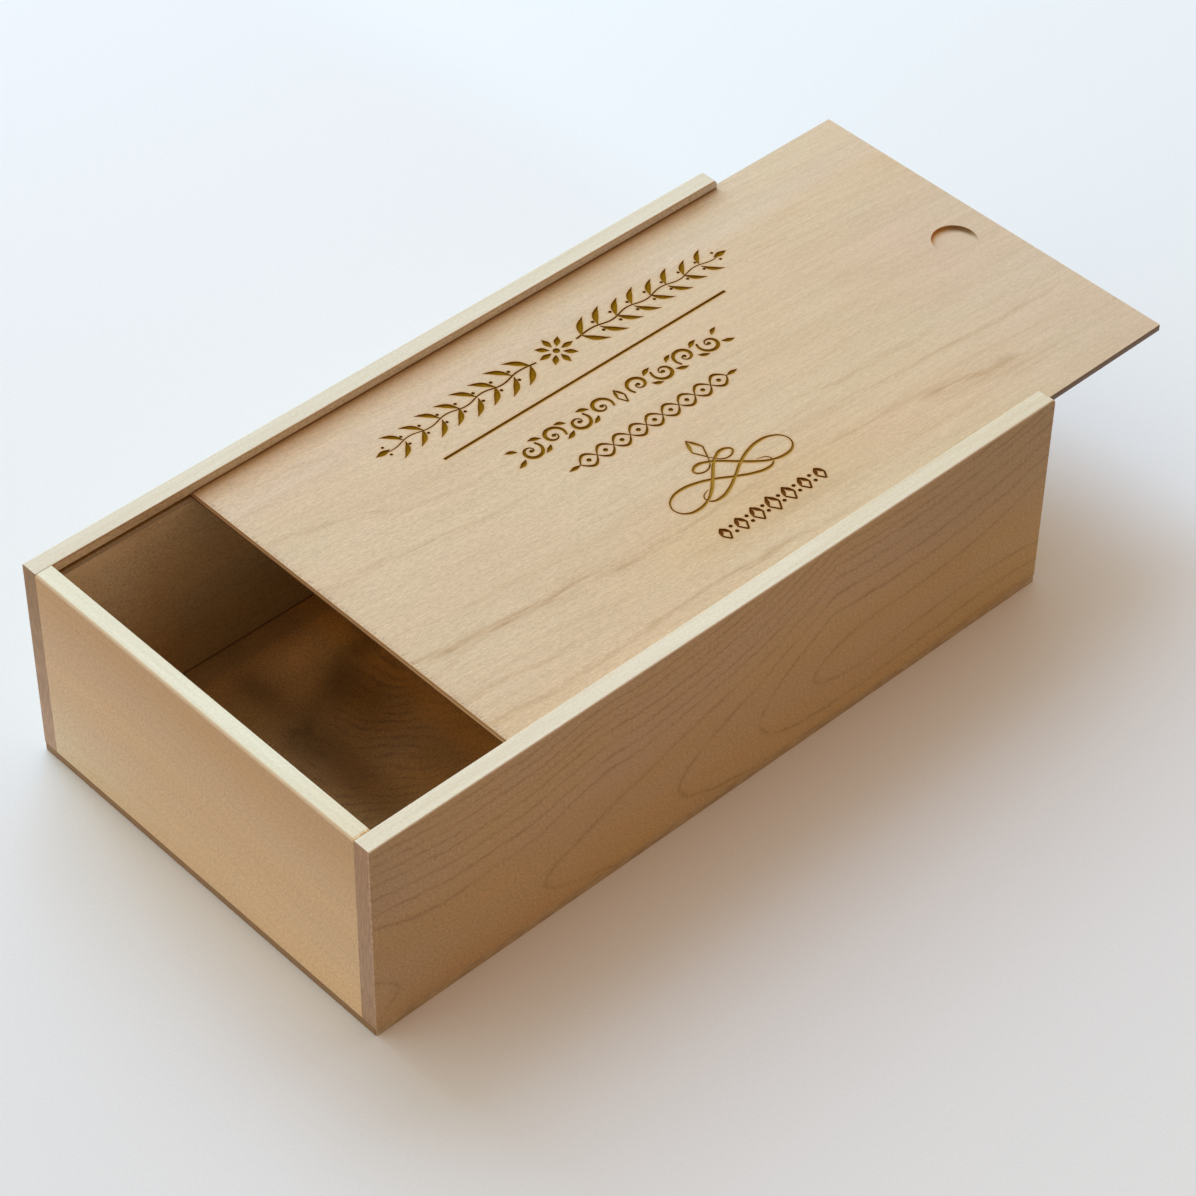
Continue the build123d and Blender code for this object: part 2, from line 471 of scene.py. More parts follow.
FACE_TONES = {
    "pale": (0.522, 0.366, 0.195),
    "warm": (0.535, 0.368, 0.165),
    "late": (0.285, 0.165, 0.056),
    "line_width": 0.17,
    "line_strength": 0.6,
    "grit": 0.25,
}
SIDE_PLACES = ((TOP_ARRIS, rounded_arris), (WALL_TOP, cream_edge), (CLOSED_END_FACE, end_grain),
               (OPEN_END_FACE, end_grain))
RIGHT_SIDE_TONES = {
    **FACE_TONES,
    "tints": (
        # The first two rows are painted light and shade: a paler foot and a darker head
        (where("z", 44, 8), (1.10, 1.19, 1.22)),
        (where("z", 58, 96), (0.93, 0.92, 0.89)),
        (meeting(where("x", 50, 170), where("z", 35, 70)), (0.86, 0.87, 0.88)),
        (where("x", -120, -178), (0.91, 0.92, 0.97)),
        (where("x", 85, 130), (0.98, 0.98, 0.89)),
        (meeting(where("z", 18, 8), where("x", -110, -60)), (1.0, 1.07, 1.12)),
    ),
    "places": (*SIDE_PLACES, (ragged_corner, torn_arris)),
    "last_tints": ((meeting(WALL_TOP, where("x", 40, 115)), (0.94, 0.91, 0.87)),),
}
LEFT_SIDE_TONES = {
    **FACE_TONES,
    "pale": (0.53, 0.40, 0.215),
    "warm": (0.55, 0.395, 0.195),
    "line_strength": 0.2,
    "smooth_face": OUTER_LEFT,
    "tints": (
        # Painted light: the inner face lighter towards its top
        (meeting(INSIDE_LEFT, where("z", 22, 92)), (1.5, 2.15, 3.8)),
        (LIP_FACE, (0.85, 0.85, 0.86)),
        (meeting(LIP_FACE, where("x", -60, 20)), (1.04, 1.08, 1.2)),
        (meeting(INSIDE_LEFT, where("x", -126, -150)), (1.22, 1.3, 1.42)),
        # Painted shade in the groove under the lip, and painted light on the groove's floor by the inner face
        (LEFT_GROOVE, (0.8, 0.92, 1.08)),
        (GROOVE_FLOOR, (2.0, 2.3, 2.9)),
        (meeting(INSIDE_LEFT, where("z", 52, 36), where("x", -124, -112)), (0.86, 0.93, 1.02)),
        (OUTER_LEFT, (1.0, 0.94, 0.94)),
    ),
    # The feet of the left wall and of its lip get painted shade
    "places": ((WALL_FOOT, seam_and_painted_shade), (LIP_FOOT, seam_and_painted_shade), (GROOVE_ARRIS, shaded_arris), *SIDE_PLACES),
    "last_tints": (
        (WALL_TOP, (0.935, 0.935, 0.935)),
        # Painted light and shade on the end grain: a paler foot and a darker head
        (meeting(CLOSED_END_FACE, LEFT_FOOT), (1.2, 1.2, 1.22)),
        (meeting(CLOSED_END_FACE, LEFT_HEAD), (0.83, 0.82, 0.69)),
    ),
}
END_TONES = {
    **FACE_TONES,
    "pale": (0.665, 0.462, 0.275),
    "warm": (0.685, 0.462, 0.255),
    "late": (0.47, 0.295, 0.145),
    "line_strength": 0.16,
    "grit": 0.2,
    "tints": (
        # The first two rows are painted shade and light: a darker head and a paler foot
        (where("z", 54, 92), (0.84, 0.76, 0.64)),
        (where("z", 44, 10), (1.15, 1.21, 1.24)),
        (meeting(where("z", 55, 15), where("y", 25, 85)), (0.98, 1.09, 1.2)),
    ),
    "places": (
        (WALL_TOP, cream_edge),
        (SANDED_ARRIS, rounded_arris),
        (GLUED_SEAM, glue_crumbs),
        (OPEN_SEAM, seam_and_painted_shade),
    ),
    "last_tints": (
        (meeting(WALL_TOP, CLOSED_END), (1.02, 1.07, 1.07)),
        (meeting(WALL_TOP, where("y", -50, -90)), (0.98, 0.93, 0.88)),
    ),
}

# Bottom sheet

# The sheet's tone with painted light and shade, matched to the floor in the lid's shade.
# The last row is painted light, and is too orange once the lid is drawn right out.
SHEET_TINTS = (
    (where("x", -98, -62), (1.30, 1.22, 1.12)),
    (smudge(-76, 68, 18, 12), (1.5, 1.6, 1.8)),
    (smudge(-70, -30, 26, 34), (1.08, 0.97, 0.9)),
    (smudge(-101, 12, 12, 30), (0.60, 0.53, 0.44)),
    (smudge(-100, 55, 8, 14), (0.82, 0.80, 0.72)),
    (smudge(-70, 35, 16, 15), (0.60, 0.51, 0.32)),
    (smudge(-71, -11, 9, 9), (0.86, 0.90, 0.87)),
    (where("y", 78, 84, smooth=True), (0.78, 0.84, 0.90)),
    (smudge(-56, 66, 10, 16), (1.08, 1.17, 1.14)),
    (smudge(-80, 2, 15, 8), (1.0, 1.03, 1.3)),
    (smudge(-78, 19, 9, 8), (0.85, 0.79, 0.76)),
    (smudge(-62, 30, 6, 8), (1.12, 1.2, 1.3)),
    (smudge(-106, -8, 9, 18), (0.85, 0.77, 0.64)),
    (where("x", -64, -50), (1.45, 1.28, 0.86)),
)
ARC_TIP = Vector((-114.0, 9.0))
ARC_HEADING = math.radians(25)
ARC_BLUNTNESS = 10.0
ARC_SLOPE = 0.55
ARC_PITCH = 5.4
DARK_BAND = ((-116, 30), (-104, 34), (-92, 38), (-80, 42.5), (-70, 48.5), (-62, 53), (-40, 62), (-10, 66))


def nested_arcs(finish):
    """Faint growth rings that point at the closed end, with their lower arms drawn out to the right."""
    soft_noise = finish.noise(finish.scaled(finish.place, (0.16, 0.16, 0.16)), detail=2.0)
    blur = finish.span(soft_noise, 0.2, 0.8, -1.8, 1.8)
    aside = finish.plus(finish.minus(finish.x, ARC_TIP.x), blur)
    ahead = finish.minus(finish.y, ARC_TIP.y)
    turned_x, turned_y = math.cos(ARC_HEADING), math.sin(ARC_HEADING)
    along = finish.plus(finish.times(aside, turned_x), finish.times(ahead, turned_y))
    across = finish.minus(finish.times(ahead, turned_x), finish.times(aside, turned_y))
    reach = finish.hypotenuse(across, ARC_BLUNTNESS)
    bowed = finish.times(finish.minus(reach, ARC_BLUNTNESS), ARC_SLOPE)
    uneven = finish.grain(finish.place, 30.0, 30.0, detail=2.0, shift=37.0)
    uneven = finish.span(uneven, 0.25, 0.75, -4.0, 4.0)
    rank = finish.plus(finish.minus(along, bowed), uneven)
    share = finish.maths("FRACT", finish.maths("DIVIDE", rank, ARC_PITCH))
    arcs = finish.span(finish.maths("ABSOLUTE", finish.minus(share, 0.5)), 0.22, 0.5, smooth=True)
    broken = finish.span(finish.grain(finish.place, 14.0, 9.0, shift=5.0), 0.36, 0.62, 0.1, 1.0)
    lower = finish.span(across, 16.0, 5.0, smooth=True)
    fading = finish.span(finish.minus(finish.x, finish.y), -92.0, -58.0, 1.0, 0.3)
    return finish.times(arcs, fading, broken, lower)


def figure_and_painted_shade(finish):
    """A mask for the cloudy dark figure and painted shade: two patches and a band that wavers towards the
    left side.
    """
    patches = finish.plus(finish.times(smudge(-100, 66, 7, 11)(finish), 0.7),
                          finish.times(smudge(-104.5, 32, 8, 9)(finish), 0.9))
    waver = finish.span(finish.grain(finish.place, 20.0, 14.0, shift=31.0), 0.0, 1.0, -3.5, 3.5)
    band = along_a_line(finish, DARK_BAND, 14.0, waver)
    dark = finish.maths("ADD", patches, finish.times(band, 0.8), clamp=True)
    cloud = finish.grain(finish.place, 9.0, 7.0, detail=4.0, shift=29.0)
    cloudy = finish.span(cloud, 0.25, 0.62, 0.5, 1.0)
    return finish.times(dark, cloudy, 0.66)


def sheet_edges(finish, fibre, colour):
    """The sheet's colour with its sawn ends and its planed long edges added, the near one paler."""
    sawn = finish.mixed(finish.span(fibre, 0.3, 0.7), (0.25, 0.145, 0.065), (0.36, 0.22, 0.11))
    at_an_end = finish.span(finish.maths("ABSOLUTE", finish.x), HALF_LENGTH - 0.4, HALF_LENGTH - 0.25)
    colour = finish.mixed(at_an_end, colour, sawn)
    mottle = finish.span(finish.grain(finish.place, 7.0, 2.5, detail=3.0, shift=23.0), 0.4, 0.62)
    near = finish.mixed(mottle, (0.445, 0.385, 0.245), (0.555, 0.50, 0.325))
    far = finish.mixed(mottle, (0.385, 0.262, 0.14), (0.485, 0.345, 0.19))
    planed = finish.mixed(finish.maths("GREATER_THAN", finish.y, 0.0), near, far)
    at_a_side = finish.span(finish.maths("ABSOLUTE", finish.y), HALF_WIDTH - 0.4, HALF_WIDTH - 0.25)
    return finish.mixed(at_a_side, colour, planed)


def bottom_sheet():
    """Thin sheet with dark figure, painted shade and faint arcs near the closed end, plain under the lid."""
    finish = Finish("bottom_sheet")
    patch = finish.span(finish.grain(finish.place, 34.0, 24.0, detail=3.0, shift=11.0), 0.35, 0.65)
    colour = finish.mixed(patch, (0.43, 0.265, 0.10), (0.54, 0.325, 0.125))
    colour = tinted(finish, colour, SHEET_TINTS)
    plain = finish.mixed(patch, (0.46, 0.30, 0.14), (0.53, 0.35, 0.165))
    colour = finish.mixed(finish.span(finish.x, -56.0, -34.0, smooth=True), colour, plain)
    colour = finish.mixed(finish.times(nested_arcs(finish), 0.46), colour, (0.15, 0.085, 0.035))
    # Painted shade as well as the wood's dark figure
    colour = finish.mixed(figure_and_painted_shade(finish), colour, (0.12, 0.070, 0.020))
    fibre = finish.grain(finish.place, 4.0, 0.5, detail=3.0, shift=17.0)
    colour = finish.toned(colour, finish.span(fibre, 0.3, 0.7, 0.9, 1.1))
    pores = finish.noise(finish.place, detail=2.0, roughness=0.7)
    colour = finish.toned(colour, finish.span(pores, 0.3, 0.7, 0.72, 1.28))
    colour = sheet_edges(finish, fibre, colour)
    roughness = finish.span(fibre, 0.2, 0.8, 0.55, 0.7)
    return finish.finished(colour, roughness, fibre, 0.05)


def dress_walls():
    """Solid wood for the four walls and the sheet under them."""
    from_end = ("x", 1, HALF_LENGTH)
    from_side = ("y", 1, HALF_WIDTH)
    upwards = ("z", 1, 0)
    from_far_side = ("y", -1, HALF_WIDTH)
    from_open_end = ("x", -1, HALF_LENGTH)
    woods = {
        "right_side": (from_end, upwards, from_side, RIGHT_SIDE_LOG, RIGHT_SIDE_TONES, 1.0),
        "left_side": (from_end, upwards, from_far_side, LEFT_SIDE_LOG, LEFT_SIDE_TONES, 31.0),
        "closed_end": (from_side, upwards, from_end, CLOSED_END_LOG, END_TONES, 57.0),
        "open_end": (from_side, upwards, from_open_end, OPEN_END_LOG, END_TONES, 83.0),
    }
    for node, wood in woods.items():
        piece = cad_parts[node]
        piece.data.materials.clear()
        piece.data.materials.append(sawn_board(node + "_wood", *wood))
    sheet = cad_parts["bottom_panel"]
    sheet.data.materials.clear()
    sheet.data.materials.append(bottom_sheet())


def ease_edges():
    """Every board's edges are eased a little, as sandpaper leaves them."""
    for node in ("right_side", "left_side", "closed_end", "open_end", "bottom_panel"):
        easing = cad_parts[node].modifiers.new("eased", "BEVEL")
        easing.width = EASED_EDGE * MM
        easing.segments = 2
        easing.limit_method = "ANGLE"
        easing.angle_limit = math.radians(40)


# Lid

RECESS_CENTRE = LID_HIGH.x - 21.5
RECESS_LEAN = 0.35
TORN_REACH = 3.5
# The second row stands in for the left lip's shade
LID_TINTS = (
    (between("y", 0, 62, 70, 74, 80), (1.0, 1.02, 1.08)),
    (meeting(where("y", 78, 88, smooth=True), where("x", 178, 165)), (0.88, 0.785, 0.645)),
    (smudge(50, -60, 60, 18), (0.97, 0.92, 0.77)),
    (meeting(where("x", 105, 135), where("y", 60, 70)), (1.03, 1.06, 1.12)),
    (meeting(where("x", LID_LOW.x + 235, LID_LOW.x + 350, smooth=True), where("y", 60, 20)),
     (0.97, 1.0, 1.1)),
)
LID_FALL = ((0, 0), (60, 5), (110, 10), (200, 15), (280, 19), (355, 25))
# Each row is a streak: its line, its width and its depth of colour
LID_STREAKS = (
    (((-150, -34), (-104, -37), (-84, -40), (-60, -43), (-24, -46), (0, -51), (30, -52)), 6.5, 0.5),
    (((-150, -33), (-104, -37), (-84, -39), (-60, -43), (-40, -44), (-10, -49)), 2.6, 0.6),
    (((-160, -47), (-104, -47), (-84, -45), (-60, -46)), 2.4, 0.4),
    (((-50, -48), (20, -51), (60, -52), (100, -54), (150, -59), (170, -62)), 1.8, 0.5),
    (((-150, -62), (-104, -64), (-79, -66), (-54, -69), (-35, -71)), 2.4, 0.7),
    (((-160, -78), (-104, -79), (-64, -82), (-4, -81), (36, -83), (100, -88)), 2.6, 0.75),
    (((138, -58), (151, -60), (166, -63), (181, -67), (200, -69)), 4.0, 0.8),
    (((5, -65), (50, -69), (100, -73)), 5.0, 0.35),
    (((140, -66), (166, -68), (191, -72), (220, -73)), 6.0, 0.35),
    (((90, -36), (126, -41), (170, -45), (207, -48), (260, -51)), 1.7, 0.5),
    (((95, -22), (126, -30), (160, -33), (200, -34)), 1.8, 0.4),
    (((100, -79), (140, -75), (180, -76), (260, -82)), 3.0, 0.35),
    (((-97, 80), (-75, 78), (-60, 76), (-45, 70)), 1.8, 0.5),
    (((-150, 53), (-104, 50), (-84, 45), (-64, 38), (-49, 30), (-24, 24), (10, 22)), 2.4, 0.45),
    (((-150, 18), (-104, 16), (-64, 11), (-24, 5), (10, 2)), 2.0, 0.4),
    (((-150, -19), (-104, -21), (-60, -28), (-10, -31)), 2.2, 0.35),
    (((90, 10), (130, 9), (160, 7)), 1.2, 0.4),
    (((150, 50), (170, 48), (200, 43)), 2.0, 0.35),
)


def plies(finish, depth):
    """The lid's sawn edge by its depth from the top: a brown face, a light core and a dark back ply.

    Towards the far side the plies lie a little higher, and the core is painted darker for its shade.
    """
    to_far_side = finish.span(finish.y, -75.0, 20.0, smooth=True)
    depth = finish.maths("MULTIPLY_ADD", to_far_side, 0.45, depth)
    face = finish.mixed(finish.span(depth, 0.5, 0.7), (0.68, 0.47, 0.27), (0.50, 0.33, 0.175))
    light = finish.mixed(to_far_side, (0.80, 0.545, 0.30), (0.65, 0.42, 0.225))
    core = finish.mixed(finish.span(depth, 1.2, 1.5), face, light)
    return finish.mixed(finish.span(depth, 2.5, 2.75), core, (0.16, 0.08, 0.034))


def veneer_streaks(finish, board):
    """The soft brown streaks of the lid's veneer, fibrous all along."""
    total = 0.0
    waver = finish.span(finish.grain(board, 22.0, 6.0, detail=2.0, shift=61.0), 0.0, 1.0, -3.6, 3.6)
    for line, width, depth in LID_STREAKS:
        total = finish.plus(finish.times(along_a_line(finish, line, width, waver), depth), total)
    fibrous = finish.span(finish.grain(board, 18.0, 1.1, detail=4.0, shift=57.0), 0.34, 0.64, 0.12, 0.7)
    return finish.maths("MULTIPLY", total, fibrous, clamp=True)


def scorched_rim(finish):
    """A mask for the warm rim that the burning tool leaves on the veneer beside each cut."""
    reach = {"Distance": 1.4 * MM, "Color": (1.0, 1.0, 1.0, 1.0)}
    beside = finish.node("ShaderNodeAmbientOcclusion", reach, samples=6, inside=True, only_local=True)
    on_top = finish.span(finish.z, LID_HIGH.z - 0.1, LID_HIGH.z - 0.05)
    along = finish.maths("ABSOLUTE", finish.minus(finish.x, ENGRAVING_CENTRE))
    engraved = finish.times(finish.span(along, 101.0, 99.0),
                            finish.span(finish.maths("ABSOLUTE", finish.y), 76.0, 74.0))
    rim = finish.span(beside.outputs["AO"], 0.985, 0.74, 0.0, 0.72)
    return finish.times(rim, on_top, engraved)


def veneer_figure(finish, board, across):
    """The veneer's colour before anything is done to it: grain at three sizes, and streaks."""
    wide = finish.span(finish.grain(board, 90.0, 9.0, detail=3.0, shift=3.0), 0.42, 0.68, smooth=True)
    medium = finish.span(finish.grain(board, 45.0, 2.2, detail=4.0, shift=9.0), 0.45, 0.72)
    narrow = finish.span(finish.grain(board, 22.0, 0.7, detail=3.0, shift=15.0), 0.42, 0.75)
    patch = finish.span(finish.grain(board, 70.0, 30.0, shift=27.0), 0.35, 0.65)
    colour = finish.mixed(patch, (0.69, 0.560, 0.365), (0.70, 0.538, 0.350))
    colour = finish.mixed(finish.times(wide, 0.16), colour, (0.52, 0.38, 0.20))
    colour = finish.mixed(finish.times(medium, 0.22), colour, (0.50, 0.36, 0.18))
    colour = finish.mixed(finish.times(narrow, 0.22), colour, (0.50, 0.37, 0.20))
    colour = finish.mixed(veneer_streaks(finish, board), colour, (0.42, 0.26, 0.10))
    near_side = finish.span(across, -66.0, -88.0, 0.0, 0.45, smooth=True)
    return finish.mixed(near_side, colour, (0.69, 0.475, 0.255))


def torn_fibres(finish, board, along):
    """A mask for the short dark splinters just behind the lid's sawn front edge."""
    torn = finish.span(finish.grain(board, 2.6, 0.33, detail=1.0, shift=45.0), 0.56, 0.62)
    reach = finish.minus(1.0, finish.maths("DIVIDE", along, TORN_REACH, clamp=True))
    return finish.times(torn, finish.maths("POWER", reach, 1.5))


def shaded_recess(finish, colour):
    """The colour with a crescent of shade painted in the thumb recess, amber at its left, dark beyond."""
    aside = finish.minus(finish.x, RECESS_CENTRE)
    from_centre = finish.hypotenuse(aside, finish.y)
    below = finish.span(finish.z, LID_HIGH.z - 0.05, LID_HIGH.z - 0.25)
    lean = finish.maths("MULTIPLY_ADD", aside, RECESS_LEAN, finish.y)
    inner_rim = finish.span(lean, 0.0, 9.5, 9.2, 4.7)
    # The crescent of painted shade in the recess
    shade_share = finish.times(finish.span(from_centre, inner_rim, 9.8, smooth=True), below,
                        finish.span(lean, -1.5, 4.0, 0.1, 1.0))
    from_left = finish.minus(aside, finish.y)
    shade_colour = finish.mixed(finish.span(from_left, -12.0, 1.0), (0.60, 0.34, 0.09), (0.26, 0.155, 0.06))
    return finish.mixed(finish.times(shade_share, 0.95), colour, shade_colour)


def lid_edges(finish, fine, colour):
    """The colour with the plies added on the four edges, the long ones nearly black as in groove shade."""
    sides = finish.span(finish.maths("ABSOLUTE", finish.y), LID_HIGH.y - 0.3, LID_HIGH.y - 0.1)
    front = finish.maths("LESS_THAN", finish.x, LID_LOW.x + 0.3)
    back = finish.maths("GREATER_THAN", finish.x, LID_HIGH.x - 0.25)
    edge = finish.maths("MAXIMUM", sides, finish.maths("MAXIMUM", front, back))
    sawn = finish.toned(plies(finish, finish.minus(LID_HIGH.z, finish.z)),
                        finish.span(fine, 0.3, 0.7, 0.85, 1.1))
    colour = finish.mixed(edge, colour, sawn)
    return finish.mixed(finish.times(sides, 0.8), colour, (0.055, 0.045, 0.026))


def lid_veneer():
    """Face veneer with soft brown streaks that fall to the near side, short fibres and sawn edges."""
    finish = Finish("lid_veneer")
    along = finish.minus(finish.x, LID_LOW.x)
    across = finish.plus(finish.y, finish.drawn(along, LID_FALL))
    board = finish.joined(along, across, finish.z)
    colour = tinted(finish, veneer_figure(finish, board, across), LID_TINTS)
    dash = finish.grain(board, 2.6, 0.45, detail=2.0, shift=33.0)
    fibre = finish.grain(board, 3.2, 0.4, detail=2.0, shift=51.0)
    fine = finish.grain(board, 0.9, 0.6, detail=2.0, shift=39.0)
    tone = finish.plus(finish.span(dash, 0.3, 0.7, -0.09, 0.075), finish.span(fine, 0.3, 0.7, 0.93, 1.07))
    calmer = finish.span(along, 110.0, 270.0, 1.15, 0.8)
    colour = finish.toned(colour, finish.plus(1.0, finish.times(finish.minus(tone, 1.0), calmer)))
    colour = finish.mixed(scorched_rim(finish), colour, (0.56, 0.31, 0.08))
    colour = finish.mixed(finish.times(torn_fibres(finish, board, along), 0.85), colour, (0.20, 0.09, 0.04))
    colour = shaded_recess(finish, colour)
    colour = lid_edges(finish, fine, colour)
    roughness = finish.span(fibre, 0.2, 0.8, 0.48, 0.64)
    return finish.finished(colour, roughness, finish.plus(fibre, fine), 0.04)


# Engraving

ENGRAVED_DEPTH = 0.45
CUTTER_RISE = 0.3
ENGRAVING_CENTRE = 57.4
PEN_WEIGHT = 1.3
RULE = {"from": -77.0, "to": 77.0, "y": 41.0, "width": 1.35}
GARLAND = {"y": 59.8, "start": 11.0, "end": 94.0, "pitch": 9.6, "pairs": 8, "tilt": math.radians(48)}
ROSETTE = {"petals": 8, "radius": 2.8}
SCROLLS = {"y": 22.0, "start": 10.0, "pitch": 12.9, "number": 4, "radius": 4.9}
CORD = {"y": 2.5, "length": 80.0, "eyes": 9, "swing": 3.8, "steps": 4}
BEADS = {"y": -63.9, "pitch": 8.6, "each_side": 3}
PASS_PITCH = 0.32


def mirrored(stroke):
    return [(-x, y, width) for x, y, width in stroke]


def with_mirror_images(strokes, dots):
    """The strokes and dots of the right half, each followed by its mirror image."""
    both_halves = []
    for stroke in strokes:
        both_halves += [stroke, mirrored(stroke)]
    return both_halves, dots + [(-x, y, radius) for x, y, radius in dots]


def flourish():
    """One pen stroke and its mirror image: a small loop, a crossing, a large loop and a curl."""
    pen = [
        (0.0, -27.6, 0.3), (1.2, -29.6, 0.4), (3.2, -32.0, 0.5), (6.3, -33.1, 0.6), (9.2, -32.2, 0.7),
        (10.3, -30.5, 0.7), (9.0, -28.8, 0.9), (6.0, -28.2, 1.2), (2.8, -29.3, 1.0), (0.0, -31.0, 1.0),
        (-7.4, -37.9, 1.1), (-12.0, -42.1, 1.1), (-17.4, -45.6, 0.9), (-23.5, -47.1, 1.1),
        (-28.5, -46.0, 0.8), (-31.3, -42.3, 0.45), (-30.7, -38.4, 0.5), (-27.2, -35.4, 0.8),
        (-21.5, -34.3, 1.1), (-14.0, -35.6, 1.1), (-7.4, -38.4, 1.0), (0.0, -42.9, 1.0),
        (7.0, -46.6, 1.1), (12.6, -48.1, 1.1), (16.6, -47.3, 0.7), (17.9, -45.1, 0.45),
        (17.2, -43.1, 0.35), (15.6, -42.1, 0.3), (13.2, -41.4, 0.15),
    ]
    pen = [(x, y, width * PEN_WEIGHT) for x, y, width in pen]
    return [pen, mirrored(pen)]


def lozenge(x, y, half_width, top, bottom, bold, fine):
    """An open diamond, bold at its head and fine at its foot."""
    side = y + (top + bottom) * 0.5 - (top - bottom) * 0.04
    shoulder = (x - half_width * 0.5, (y + top + side) / 2, bold)
    head = [(x, y + top, bold * 0.3), shoulder, (x - half_width, side, fine)]
    foot = [(x - half_width, side, fine), (x, y + bottom, fine)]
    strokes = []
    for stroke in (head, foot):
        strokes += [stroke, [(2 * x - a, b, width) for a, b, width in stroke]]
    return strokes


def leaf(x, y, angle, length, width, bend):
    """A leaf is one short stroke that swells and closes again; bend bows it to the left."""
    along = Vector((math.cos(angle), math.sin(angle)))
    aside = Vector((-along.y, along.x))
    stroke = []
    for share, swell in ((0.0, 0.12), (0.22, 0.62), (0.48, 1.0), (0.74, 0.66), (1.0, 0.06)):
        bow = bend * math.sin(math.pi * share)
        spot = Vector((x, y)) + along * (length * share) + aside * bow
        stroke.append((spot.x, spot.y, width * swell))
    return stroke


def garland():
    """A laurel garland on both sides of a rosette, in the place of the top line."""
    middle, start, pitch, pairs, tilt = [GARLAND[key] for key in ("y", "start", "pitch", "pairs", "tilt")]
    stem = [(start, middle, 0.9)]
    for step in range(1, pairs + 1):
        stem.append((start + step * pitch, middle + (0.9 if step % 2 else -0.9), 0.9 - step * 0.055))
    stem.append((GARLAND["end"], middle, 0.15))
    half, berries = [stem], []
    for step in range(pairs):
        x = start + 3.0 + step * pitch
        size = 1.0 - 0.028 * step
        sway = 0.5 if step % 2 else -0.5
        half.append(leaf(x, middle + sway, tilt, 12.4 * size, 2.75 * size, 1.1))
        half.append(leaf(x, middle - sway, -tilt, 12.4 * size, 2.75 * size, -1.1))
        for side in (1, -1):
            berries.append((x + 9.2, middle + side * 3.3 * size, 0.8 * size))
    half.append(leaf(GARLAND["end"] - 5.0, middle, 0.0, 7.0, 2.8, 0.0))
    strokes, dots = with_mirror_images(half, berries)
    for petal in range(ROSETTE["petals"]):
        angle = math.tau * petal / ROSETTE["petals"]
        x, y = ROSETTE["radius"] * math.cos(angle), middle + ROSETTE["radius"] * math.sin(angle)
        strokes.append(leaf(x, y, angle, 6.2, 2.7, 0.0))
    dots.append((0.0, middle, 1.5))
    return strokes, dots


def volute(x, y, turn, start, radius, width):
    """A scroll that winds in to its own eye, from a start angle."""
    stroke = []
    steps = 12
    for step in range(steps + 1):
        share = step / steps
        angle = start + turn * share * math.tau * 1.25
        reach = radius * (1 - share) ** 0.8 + 0.35
        swell = 0.35 + 0.65 * math.sin(math.pi * min(1.0, share * 1.25 + 0.1))
        stroke.append((x + reach * math.cos(angle), y + reach * math.sin(angle), width * swell))
    return stroke


def running_scroll():
    """Scrolls that run out from the middle, in the place of the second line."""
    middle = SCROLLS["y"]
    half, eyes = [], []
    for step in range(SCROLLS["number"]):
        x = SCROLLS["start"] + step * SCROLLS["pitch"]
        side = 1 if step % 2 == 0 else -1
        half.append(volute(x, middle + side * 0.5, -side, side * (math.pi / 2 + 2.2), SCROLLS["radius"], 1.7))
        half.append(leaf(x + 5.0, middle + side * 2.6, math.radians(side * 24), 5.8, 2.2, side * 0.5))
        half.append(leaf(x + 4.6, middle - side * 2.6, math.radians(-side * 30), 5.2, 2.0, -side * 0.5))
        eyes.append((x, middle + side * 0.5, 0.9))
    strokes, dots = with_mirror_images(half, eyes)
    return strokes + lozenge(0.0, middle, 1.9, 4.5, -4.5, 1.3, 0.7), dots


def twisted_cord():
    """Two fine strands twisted round each other with a bead in each eye, in the place of the third line."""
    strokes, dots = [], []
    middle, length, eyes, steps = CORD["y"], CORD["length"], CORD["eyes"], CORD["steps"]
    pitch = length / eyes
    for side in (1, -1):
        strand = []
        for step in range(eyes * steps + 1):
            wave = math.sin(math.pi * step / steps)
            x = -length / 2 + step * pitch / steps
            strand.append((x, middle + side * CORD["swing"] * wave, 0.45 + 0.9 * abs(wave)))
        strokes.append(strand)
    for eye in range(eyes):
        dots.append((-length / 2 + (eye + 0.5) * pitch, middle, 1.0))
    for side, angle in ((1, 0.0), (-1, math.pi)):
        strokes.append(leaf(side * length / 2, middle, angle, 6.0, 2.0, 0.0))
    return strokes, dots


def bead_row():
    """Lozenges and pairs of beads, in the place of the small line."""
    strokes, dots = [], []
    middle, pitch, each_side = BEADS["y"], BEADS["pitch"], BEADS["each_side"]
    for step in range(-each_side, each_side + 1):
        size = 1.0 - 0.08 * abs(step)
        strokes += lozenge(step * pitch, middle, 2.7 * size, 4.7 * size, -4.7 * size, 1.8, 0.85)
    for step in range(-each_side, each_side):
        for side in (1, -1):
            dots.append(((step + 0.5) * pitch, middle + side * 1.8, 0.85))
    return strokes, dots


def ornament():
    """Every stroke and dot of the engraving, about its middle line."""
    strokes = flourish() + lozenge(0.0, -21.3, 2.9, 6.3, -6.2, 1.5, 0.65)
    strokes.append([(end, RULE["y"], RULE["width"]) for end in (RULE["from"], RULE["to"])])
    dots = []
    for band in (garland(), running_scroll(), twisted_cord(), bead_row()):
        strokes += band[0]
        dots += band[1]
    return strokes, dots


def square_tool():
    """The section of the cutter, one millimetre square."""
    data = bpy.data.curves.new("square_tool", "CURVE")
    data.dimensions = "2D"
    spline = data.splines.new("POLY")
    spline.points.add(3)
    for point, (x, y) in zip(spline.points, ((-0.5, -0.5), (0.5, -0.5), (0.5, 0.5), (-0.5, 0.5))):
        point.co = (x * MM, y * MM, 0, 1)
    spline.use_cyclic_u = True
    return placed("square_tool", data)


